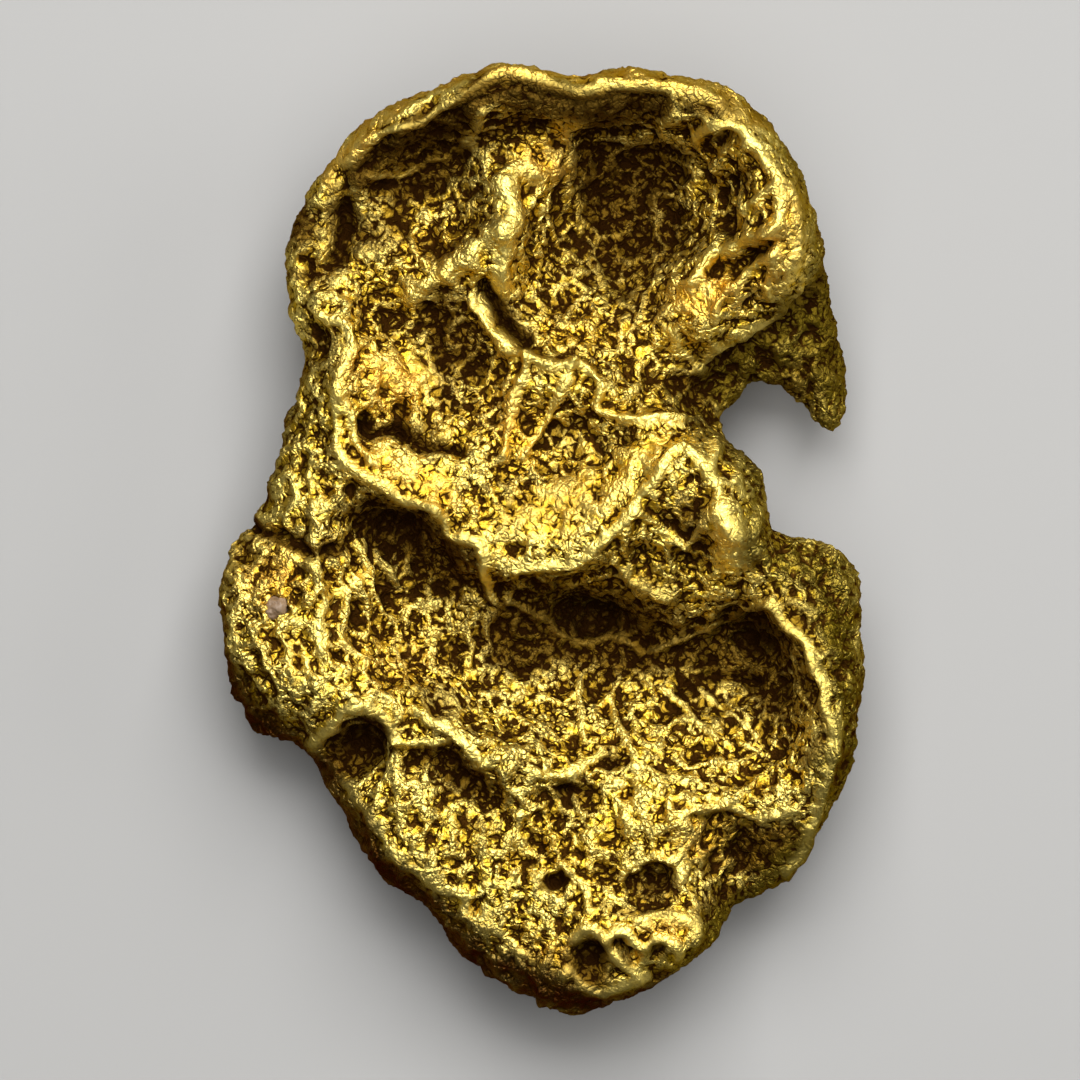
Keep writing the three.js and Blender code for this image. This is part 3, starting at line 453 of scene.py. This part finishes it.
def dome(place, cap):
    """Capped domes with creases between them, from minus half the cap to plus half the cap."""
    nearest, second = noise.voronoi(place)[0][:2]
    return min(second - nearest, cap) - cap / 2


def grain_height(points, worn, rugged):
    """The height of the grain: lumps, wrinkles, cells with creases between them, and bladed folds."""
    height = np.empty(len(points))
    for n, point in enumerate(points):
        place = Vector(point)
        lump = fractal(place / LUMP, 3)
        place += WARP * noise.noise_vector(place / WARP_SIZE)
        wrinkle = 1 - WRINKLE_STEEP * abs(noise.noise(place / WRINKLE))
        wrinkle -= FINE_WRINKLE_STEEP * abs(noise.noise(FINE_WRINKLES * place / WRINKLE))
        height[n] = (
            LUMP_RISE * lump * (1 - LUMP_WORN_OFF * worn[n])
            + (1 - GRAIN_WORN_OFF * worn[n]) * (
                WRINKLE_RISE * (wrinkle - WRINKLE_MEAN)
                + CELL_RISE * dome(place / CELL, CELL_CAP)
                + PIMPLE_RISE * dome(place / PIMPLE, PIMPLE_CAP))
        )
        if rugged[n] > LEAST_RUGGED:
            folded = Vector((place.x + FOLD_SLANT * place.y, FOLD_STRETCH * place.y, place.z))
            blade = 1 - BLADE_STEEP * abs(noise.noise(folded / BLADE))
            height[n] += BLADE_RISE * rugged[n] * (blade - BLADE_MEAN)
    return height


def wander(plan, shift, size):
    """The plan points, shifted to and fro in waves of the size."""
    moved = np.array([noise.noise_vector(Vector((x / size, y / size, 0)))[:2] for x, y in plan])
    return plan + shift * moved


def ellipse_sum(plan, ellipses):
    """The ellipses' amounts added up at each point. Each fades out from its middle."""
    total = np.zeros(len(plan))
    for *ellipse, amount in ellipses:
        total += amount * bell(in_ellipse(plan, *ellipse))
    return total


def ellipse_most(plan, ellipses, sharpness=1):
    """The largest of the ellipses' amounts at each point. More sharpness makes firmer edges."""
    most = np.zeros(len(plan))
    for *ellipse, amount in ellipses:
        most = np.maximum(most, amount * bell(in_ellipse(plan, *ellipse) ** sharpness))
    return most


def front_relief(plan):
    """The height that the crests, grooves, pits and lumps add, and how worn the surface is there."""
    height = ellipse_sum(plan, LUMPS) - ellipse_sum(plan, PITS)
    worn = ellipse_most(plan, POLISHED, sharpness=2)
    for half_width, rise, polish, points in CRESTS.values():
        distance = widths_away(points, plan, half_width, 4)
        crest = bell(distance / CREST_SPREAD)
        height += rise * (crest - MOAT_DEPTH * bell(distance / MOAT_SPREAD))
        worn = np.maximum(worn, polish * crest)
    for half_width, polish, _, points in BANDS:
        worn = np.maximum(worn, polish * bell(widths_away(points, plan, half_width, 3)))
    for half_width, depth, points in GROOVES.values():
        height -= depth * bell(widths_away(points, plan, half_width, 4))
    return height, worn


def sunk_below_surroundings(points):
    """How far each point is below the mean height of the surface around it, on a coarse grid in plan."""
    low = points[:, :2].min(0) - SUNK_REACH
    cells = ((points[:, :2] - low) / SUNK_GRID).astype(int)
    shape = tuple(cells.max(0) + 1 + int(SUNK_REACH / SUNK_GRID))
    top = np.zeros(shape)
    np.maximum.at(top, tuple(cells.T), points[:, 2])
    covered = (top > 0).astype(float)
    for _ in range(SUNK_PASSES):
        for axis in (0, 1):
            top = (np.roll(top, 1, axis) + np.roll(top, -1, axis) + top) / 3
            covered = (np.roll(covered, 1, axis) + np.roll(covered, -1, axis) + covered) / 3
    around = top / np.maximum(covered, 1e-3)
    return around[tuple(cells.T)] - points[:, 2]


def front_share(outward):
    """1 where the surface looks up, falling to 0 where it looks down and outwards."""
    return np.clip((outward[:, 2] - FRONT_FROM) / FRONT_RANGE, 0, 1)


def squeezed(height):
    """The heights, with the highest ones pressed down until their top is the top of the CAD."""
    top = height.max()
    share = np.clip((height - SQUEEZED_ABOVE) / (top - SQUEEZED_ABOVE), 0, 1)
    return height - (top - cad_box[1][2] / MM) * share ** 2


def band_cover(plan, bands):
    """The largest of the bands' amounts at each point."""
    cover = np.zeros(len(plan))
    for half_width, *_, amount, points in bands:
        cover = np.maximum(cover, amount * bell(widths_away(points, plan, half_width, 3) ** 2))
    return cover


def store(mesh, name, values):
    """Keep a value for each point, for the material to read."""
    layer = mesh.attributes.new(name, "FLOAT", "POINT")
    layer.data.foreach_set("value", values.astype(np.float32))


def displaced_nugget():
    """The CAD's nugget, subdivided, with the relief and the grain, and then with fewer triangles."""
    base = with_modifiers(
        cad_copy("gold_nugget"),
        ("SUBSURF", {"levels": 1}),
        ("SMOOTH", {"factor": 0.5, "iterations": 3}),
        ("SUBSURF", {"levels": SUBDIVISIONS - 1}),
    )
    points = positions(base)
    outward = normals(base)
    front = front_share(outward)
    plan = points[:, :2]
    relief, worn = front_relief(wander(wander(plan, *COARSE_STRAY), *FINE_STRAY))
    worn = np.maximum(worn * front, FLANK_WORN * (1 - front))
    height = relief * front + grain_height(points, worn, ellipse_most(plan, RUGGED) * front)
    height -= FLANK_DRAWN_IN * (1 - front)
    shaped = points + height[:, None] * outward
    shaped[:, 2] = np.where(points[:, 2] < FLAT_BELOW, 0, squeezed(np.maximum(shaped[:, 2], 0)))
    set_positions(base, shaped)
    ratio = MOST_TRIANGLES / (2 * len(base.polygons))
    return with_modifiers(base, ("DECIMATE", {"ratio": ratio, "use_collapse_triangulate": True}))


def store_shape(mesh, points, outward):
    """How high each point stands above its surroundings, near and wide, and how far it is sunk."""
    pairs = edges(mesh)
    near = neighbour_means(points, pairs, NEAR_PASSES)
    wide = neighbour_means(near, pairs, WIDE_PASSES)
    crest = np.einsum("ij,ij->i", points - near, outward)
    bank = np.einsum("ij,ij->i", points - wide, outward)
    store(mesh, "crest", np.clip(crest / CREST_HEIGHT, -1, 1))
    store(mesh, "bank", np.clip(bank / BANK_HEIGHT, -1, 1))
    store(mesh, "sunk", sunk_below_surroundings(points))


def store_colouring(mesh, points, outward):
    """Where the gold is worn, where deposits and painted shade lie in the hollows, where the orange stain
    lies, and where the olive and red painted shade lies on the flanks.
    """
    front = front_share(outward)
    worn = front_relief(wander(points[:, :2], *COARSE_STRAY))[1] * front
    store(mesh, "worn", worn)
    plan = wander(points[:, :2], *COLOURING_STRAY)
    # Deposits and painted shade in the hollows, and painted shadow under the rims and folds.
    deposit_and_shade = np.maximum(ellipse_most(plan, DEPOSITS_AND_SHADE, sharpness=1.5), band_cover(plan, SHADOW_AND_DEPOSIT_BANDS))
    store(mesh, "deposit_and_shade", deposit_and_shade * front * (1 - DEPOSIT_AND_SHADE_WORN_OFF * worn))
    store(mesh, "stain", np.maximum(ellipse_most(plan, STAINS) * front, band_cover(plan, BANDS)))
    # Painted shade on the flanks that look outwards, weaker where they face +Y towards the key light: red
    # where they face left, olive elsewhere.
    away = plan / np.maximum(np.hypot(*plan.T), 1)[:, None]
    outwards = np.einsum("ij,ij->i", away, outward[:, :2])
    flank = np.clip(outwards * FLANK_SHADE_GAIN - FLANK_SHADE_START, 0, 1)
    flank *= np.clip(FLANK_SHADE_SHARE - FLANK_SHADE_LOST_AT_TOP * outward[:, 1], 0, 1)
    left = outward[:, 0] < LEFT_FACING
    unworn = 1 - FLANK_SHADE_WORN_OFF * worn
    store(mesh, "olive", np.maximum(band_cover(plan, OLIVE_SHADE_BANDS), flank * ~left) * unworn)
    store(mesh, "red", np.maximum(band_cover(plan, RED_SHADE_BANDS), flank * left) * unworn)


def make_nugget():
    mesh = displaced_nugget()
    points = positions(mesh)
    outward = normals(mesh)
    store_shape(mesh, points, outward)
    store_colouring(mesh, points, outward)
    set_positions(mesh, points * MM)
    mesh.shade_smooth()
    mesh.name = "nugget"
    nugget = new_object("nugget", mesh)
    nugget.data.materials.append(gold_material())
    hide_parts("gold_nugget")
    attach(nugget, "root")


# ---------------------------------------------------------------------------------------------------------
# Quartz grain
QUARTZ_BUMP, QUARTZ_BUMP_RISE = 0.25, 0.07
QUARTZ_PROUD = 0.05


def make_quartz():
    mesh = with_modifiers(cad_copy("quartz_grain"), ("SUBSURF", {"levels": 3}))
    points = positions(mesh)
    outward = normals(mesh)
    height = np.array([fractal(Vector(point) / QUARTZ_BUMP, 4) for point in points])
    height = QUARTZ_PROUD + QUARTZ_BUMP_RISE * height
    set_positions(mesh, (points + height[:, None] * outward) * MM)
    mesh.shade_smooth()
    mesh.name = "quartz"
    grain = new_object("quartz", mesh)
    grain.data.materials.append(quartz_material())
    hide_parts("quartz_grain")
    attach(grain, "root")


# ---------------------------------------------------------------------------------------------------------
# Materials. Colours are linear.
def new_material(name):
    material = bpy.data.materials.new(name)
    material.use_nodes = True
    tree = material.node_tree
    shader = tree.nodes["Principled BSDF"]
    return material, tree, shader


def add(tree, kind, **settings):
    """A new node of the kind, with its settings."""
    node = tree.nodes.new(kind)
    for name, value in settings.items():
        setattr(node, name, value)
    return node


def ramp(tree, factor, stops):
    """A colour ramp through the stops, which are (place, colour)."""
    node = add(tree, "ShaderNodeValToRGB")
    elements = node.color_ramp.elements
    while len(elements) < len(stops):
        elements.new(0.5)
    for element, (place, colour) in zip(elements, stops):
        element.position = place
        element.color = (*colour, 1)
    tree.links.new(factor, node.inputs["Fac"])
    return node.outputs["Color"]


def remap(tree, value, low, high, to_low, to_high):
    """The value's range from low to high, stretched to the other range and held to it."""
    node = add(tree, "ShaderNodeMapRange")
    node.inputs["From Min"].default_value = low
    node.inputs["From Max"].default_value = high
    node.inputs["To Min"].default_value = to_low
    node.inputs["To Max"].default_value = to_high
    tree.links.new(value, node.inputs["Value"])
    return node.outputs["Result"]


def mix(tree, factor, first, second):
    """The first colour or value, with the factor's share of the second over it."""
    node = add(tree, "ShaderNodeMix", data_type="RGBA")
    tree.links.new(factor, node.inputs["Factor"])
    for socket, value in ((node.inputs["A"], first), (node.inputs["B"], second)):
        if isinstance(value, tuple):
            socket.default_value = (*value, 1)
        else:
            tree.links.new(value, socket)
    return node.outputs["Result"]


def attribute(tree, name):
    return add(tree, "ShaderNodeAttribute", attribute_name=name).outputs["Fac"]


def warped_place(tree, size, shift):
    """Object coordinates, shifted to and fro by a noise. Millimetres."""
    where = add(tree, "ShaderNodeTexCoord").outputs["Object"]
    wave = add(tree, "ShaderNodeTexNoise")
    wave.inputs["Scale"].default_value = 1 / (size * MM)
    wave.inputs["Detail"].default_value = 1
    tree.links.new(where, wave.inputs["Vector"])
    scaled = add(tree, "ShaderNodeVectorMath", operation="MULTIPLY_ADD")
    tree.links.new(wave.outputs["Color"], scaled.inputs[0])
    scaled.inputs[1].default_value = [shift * MM] * 3
    tree.links.new(where, scaled.inputs[2])
    return scaled.outputs["Vector"]


def noise_texture(tree, size, detail=4, roughness=0.6):
    """A noise whose features are about the size, in millimetres."""
    where = add(tree, "ShaderNodeTexCoord").outputs["Object"]
    node = add(tree, "ShaderNodeTexNoise")
    node.inputs["Scale"].default_value = 1 / (size * MM)
    node.inputs["Detail"].default_value = detail
    node.inputs["Roughness"].default_value = roughness
    tree.links.new(where, node.inputs["Vector"])
    return node.outputs["Fac"]


def cell_texture(tree, place, size, feature, output):
    node = add(tree, "ShaderNodeTexVoronoi", feature=feature)
    node.inputs["Scale"].default_value = 1 / (size * MM)
    tree.links.new(place, node.inputs["Vector"])
    return node.outputs[output]


def math_node(tree, operation, *values):
    node = add(tree, "ShaderNodeMath", operation=operation)
    for socket, value in zip(node.inputs, values):
        if isinstance(value, (int, float)):
            socket.default_value = value
        else:
            tree.links.new(value, socket)
    return node.outputs["Value"]


def add_up(tree, first, *others):
    total = first
    for other in others:
        total = math_node(tree, "ADD", total, other)
    return total


# Gold, from rubbed to tarnished, and what lies on it, with painted shade in the tarnished and dirt colours.
# The edge tint is the metal's colour at a glance.
PALE_GOLD = (1.0, 0.78, 0.19)
DEEP_GOLD = (0.84, 0.54, 0.04)
STAINED_GOLD = (0.84, 0.40, 0.03)
TARNISHED_AND_SHADED_GOLD = (0.17, 0.09, 0.008)
CREASE_DIRT_AND_SHADE = (0.06, 0.025, 0.003)
HOLLOW_DIRT_AND_SHADE = (0.035, 0.013, 0.002)
OLIVE_SHADE = (0.17, 0.115, 0.009)
RED_SHADE = (0.055, 0.016, 0.003)
# The edge tint is darker than gold's own, so the steep flanks seen at a glance carry painted shade.
DARKENED_EDGE_TINT = (0.35, 0.22, 0.05)

# Sizes of the gold's pattern and the heights of its finest relief, in millimetres.
FINE_GRAIN, COARSE_GRAIN, GRAIN_MIX = 0.25, 0.4, 0.7
GRAIN_WARP, GRAIN_WARP_SIZE = 0.35, 0.30
WORM, FROST = 0.30, 0.24
GAP_PATCH, WEAR_PATCH, STAIN_PATCH, FLANK_SHADE_PATCH = 0.4, 1.1, 0.8, 1.2
DOME_HEIGHT, FROST_HEIGHT = 0.04, 0.10


def grain(tree):
    """Grains of two sizes: the distance to the nearest gap, and a tint for each coarse grain."""
    place = warped_place(tree, GRAIN_WARP_SIZE, GRAIN_WARP)
    coarse = remap(tree, noise_texture(tree, GRAIN_MIX, 1), 0.45, 0.55, 0, 1)
    edge = mix(
        tree, coarse, cell_texture(tree, place, FINE_GRAIN, "DISTANCE_TO_EDGE", "Distance"),
        cell_texture(tree, place, COARSE_GRAIN, "DISTANCE_TO_EDGE", "Distance"))
    return edge, cell_texture(tree, place, COARSE_GRAIN, "F1", "Color")


def dirt_and_shade_between_grains(tree, edge, depth, crest, bank, worn, patch):
    """Dirt and painted shade in the gaps, which are widest in the hollows and concave places and narrowest on
    crests, and dirt in fine worm-like lines.
    """
    gap = add_up(
        tree, remap(tree, depth, 0, 1, 0.035, 0.06), remap(tree, crest, -0.7, 0.7, 0.11, -0.09),
        remap(tree, bank, -0.4, 0.4, 0.04, -0.04), remap(tree, patch, 0.35, 0.65, 0.02, -0.02),
        remap(tree, noise_texture(tree, GAP_PATCH, 2), 0.3, 0.7, -0.03, 0.06),
        remap(tree, worn, 0, 1, 0, -0.15))
    crease = remap(tree, math_node(tree, "SUBTRACT", gap, edge), -0.05, 0.05, 0, 1)
    off_line = math_node(tree, "SUBTRACT", noise_texture(tree, WORM, 2, 0.5), 0.5)
    worm = add_up(tree, math_node(tree, "ABSOLUTE", off_line), remap(tree, worn, 0, 1, 0, 0.04))
    return math_node(tree, "MAXIMUM", crease, remap(tree, worm, 0.008, 0.032, 0.85, 0))


def rubbed_and_highlit_gold(tree, tint, crest, bank, worn, patch):
    """Pale where the gold is rubbed, with painted highlight on crests and banks and painted shade in concave
    places, deeper between.
    """
    pale = add_up(
        tree, remap(tree, crest, -0.5, 0.5, 0, 0.7), remap(tree, tint, 0.2, 0.9, -0.15, 0.4),
        remap(tree, bank, -0.4, 0.6, -0.3, 0.3), remap(tree, patch, 0.35, 0.65, -0.3, 0.3),
        remap(tree, worn, 0, 1, 0, 0.4))
    return mix(tree, remap(tree, pale, 0, 1, 0, 1), DEEP_GOLD, PALE_GOLD)


def covered(tree, colour, name, stain_and_shade, patches):
    """The colour with an overlay colour on it, which lies where the attribute says and is thinner in patches:
    the orange stain, and the olive and red painted shade on the flanks.
    """
    return mix(tree, math_node(tree, "MULTIPLY", attribute(tree, name), patches), colour, stain_and_shade)


def finest_relief(tree, edge, worn):
    """Domed grains with frosting on them, both shallower where the gold is worn."""
    rough_share = remap(tree, worn, 0, 1, 1, 0.3)
    domes = remap(tree, edge, 0, 0.22, 0, 1)
    frosting = noise_texture(tree, FROST, 3)
    normal = None
    for relief, height in ((domes, DOME_HEIGHT), (frosting, FROST_HEIGHT)):
        bump = add(tree, "ShaderNodeBump")
        bump.inputs["Distance"].default_value = height * MM
        tree.links.new(math_node(tree, "MULTIPLY", relief, rough_share), bump.inputs["Height"])
        if normal is not None:
            tree.links.new(normal, bump.inputs["Normal"])
        normal = bump.outputs["Normal"]
    return normal


def gold_material():
    material, tree, shader = new_material("native_gold")
    crest = attribute(tree, "crest")
    bank = attribute(tree, "bank")
    worn = attribute(tree, "worn")
    patch = noise_texture(tree, WEAR_PATCH, 2)

    # How deep the dirt and painted shade lie, from the deposits and from how concave and how sunk the surface
    # is: 0 on open gold, 1 in a hollow and near 2 in the deepest ones.
    depth = add_up(
        tree, attribute(tree, "deposit_and_shade"), remap(tree, bank, -0.05, -0.9, 0, 0.6),
        remap(tree, attribute(tree, "sunk"), 0.2, 1.6, 0, 0.5))
    edge, tint = grain(tree)
    dirt_and_shade = dirt_and_shade_between_grains(tree, edge, depth, crest, bank, worn, patch)

    # Rubbed gold, with painted highlight on the crests and banks.
    colour = rubbed_and_highlit_gold(tree, tint, crest, bank, worn, patch)
    stain_patches = remap(tree, noise_texture(tree, STAIN_PATCH), 0.3, 0.6, 0.3, 1)
    colour = covered(tree, colour, "stain", STAINED_GOLD, stain_patches)
    # Hollows darkened to tarnished gold, then to near-black: tarnish and dirt, and painted shade.
    colour = mix(tree, remap(tree, depth, 0.05, 0.9, 0, 0.95), colour, TARNISHED_AND_SHADED_GOLD)
    colour = mix(tree, remap(tree, depth, 1.1, 1.9, 0, 0.8), colour, HOLLOW_DIRT_AND_SHADE)
    # Painted shade on the flanks, olive and dark red, thinner in patches.
    flank_shade_patches = remap(tree, noise_texture(tree, FLANK_SHADE_PATCH), 0.3, 0.6, 0.85, 1)
    colour = covered(tree, colour, "olive", OLIVE_SHADE, flank_shade_patches)
    colour = covered(tree, colour, "red", RED_SHADE, flank_shade_patches)
    # Dark gaps between the grains: dirt and painted shade.
    colour = mix(tree, dirt_and_shade, colour, mix(tree, depth, CREASE_DIRT_AND_SHADE, HOLLOW_DIRT_AND_SHADE))
    tree.links.new(colour, shader.inputs["Base Color"])

    shader.inputs["Metallic"].default_value = 1
    # A darkened edge tint: painted shade on the steep flanks.
    shader.inputs["Specular Tint"].default_value = (*DARKENED_EDGE_TINT, 1)
    rough = add_up(
        tree, remap(tree, worn, 0, 1, 0.42, 0.48), remap(tree, dirt_and_shade, 0, 1, 0, 0.15),
        remap(tree, depth, 0, 1, 0, 0.25))
    tree.links.new(rough, shader.inputs["Roughness"])
    tree.links.new(finest_relief(tree, edge, worn), shader.inputs["Normal"])
    return material


QUARTZ_DARK = (0.15, 0.085, 0.04)
QUARTZ_LIGHT = (0.27, 0.18, 0.11)
QUARTZ_PATCH = 0.3


def quartz_material():
    material, tree, shader = new_material("quartz")
    colour = ramp(tree, noise_texture(tree, QUARTZ_PATCH), [(0.3, QUARTZ_DARK), (0.6, QUARTZ_LIGHT)])
    tree.links.new(colour, shader.inputs["Base Color"])
    shader.inputs["Roughness"].default_value = 0.5
    return material


# ---------------------------------------------------------------------------------------------------------
# Studio: a pale floor, a large soft light beyond the top of the nugget, one overhead, a weak one from the
# right, and dim light all round. A light is (place, side in millimetres, power in watts).
FLOOR_COLOUR = (0.38, 0.375, 0.365)
FLOOR_SIDE = 1200
LIGHTS = {
    "key": ((20, 150, 230), 200, 0.98),
    "overhead": ((0, 0, 300), 260, 0.52),
    "fill": ((220, 60, 130), 120, 0.13),
}
AIM = Vector((0, 0, 3))
ALL_ROUND = 0.02


def make_floor():
    bpy.ops.mesh.primitive_plane_add(size=FLOOR_SIDE * MM)
    floor = bpy.context.object
    floor.name = "floor"
    material, _, shader = new_material("floor")
    shader.inputs["Base Color"].default_value = (*FLOOR_COLOUR, 1)
    shader.inputs["Roughness"].default_value = 0.9
    floor.data.materials.append(material)


def soft_light(name, place, side, power):
    """A square area light that faces the nugget."""
    data = bpy.data.lights.new(name, "AREA")
    data.size = side * MM
    data.energy = power
    lamp = bpy.data.objects.new(name, data)
    lamp.location = Vector(place) * MM
    lamp.rotation_euler = (AIM - Vector(place)).to_track_quat("-Z", "Y").to_euler()
    bpy.context.scene.collection.objects.link(lamp)


def make_lights():
    for name, (place, side, power) in LIGHTS.items():
        soft_light(name, place, side, power)
    world = bpy.data.worlds.new("studio")
    world.use_nodes = True
    background = world.node_tree.nodes["Background"]
    background.inputs["Color"].default_value = (1, 1, 1, 1)
    background.inputs["Strength"].default_value = ALL_ROUND
    bpy.context.scene.world = world
    bpy.context.scene.view_settings.view_transform = "Standard"


make_camera()
make_nugget()
make_quartz()
make_floor()
make_lights()
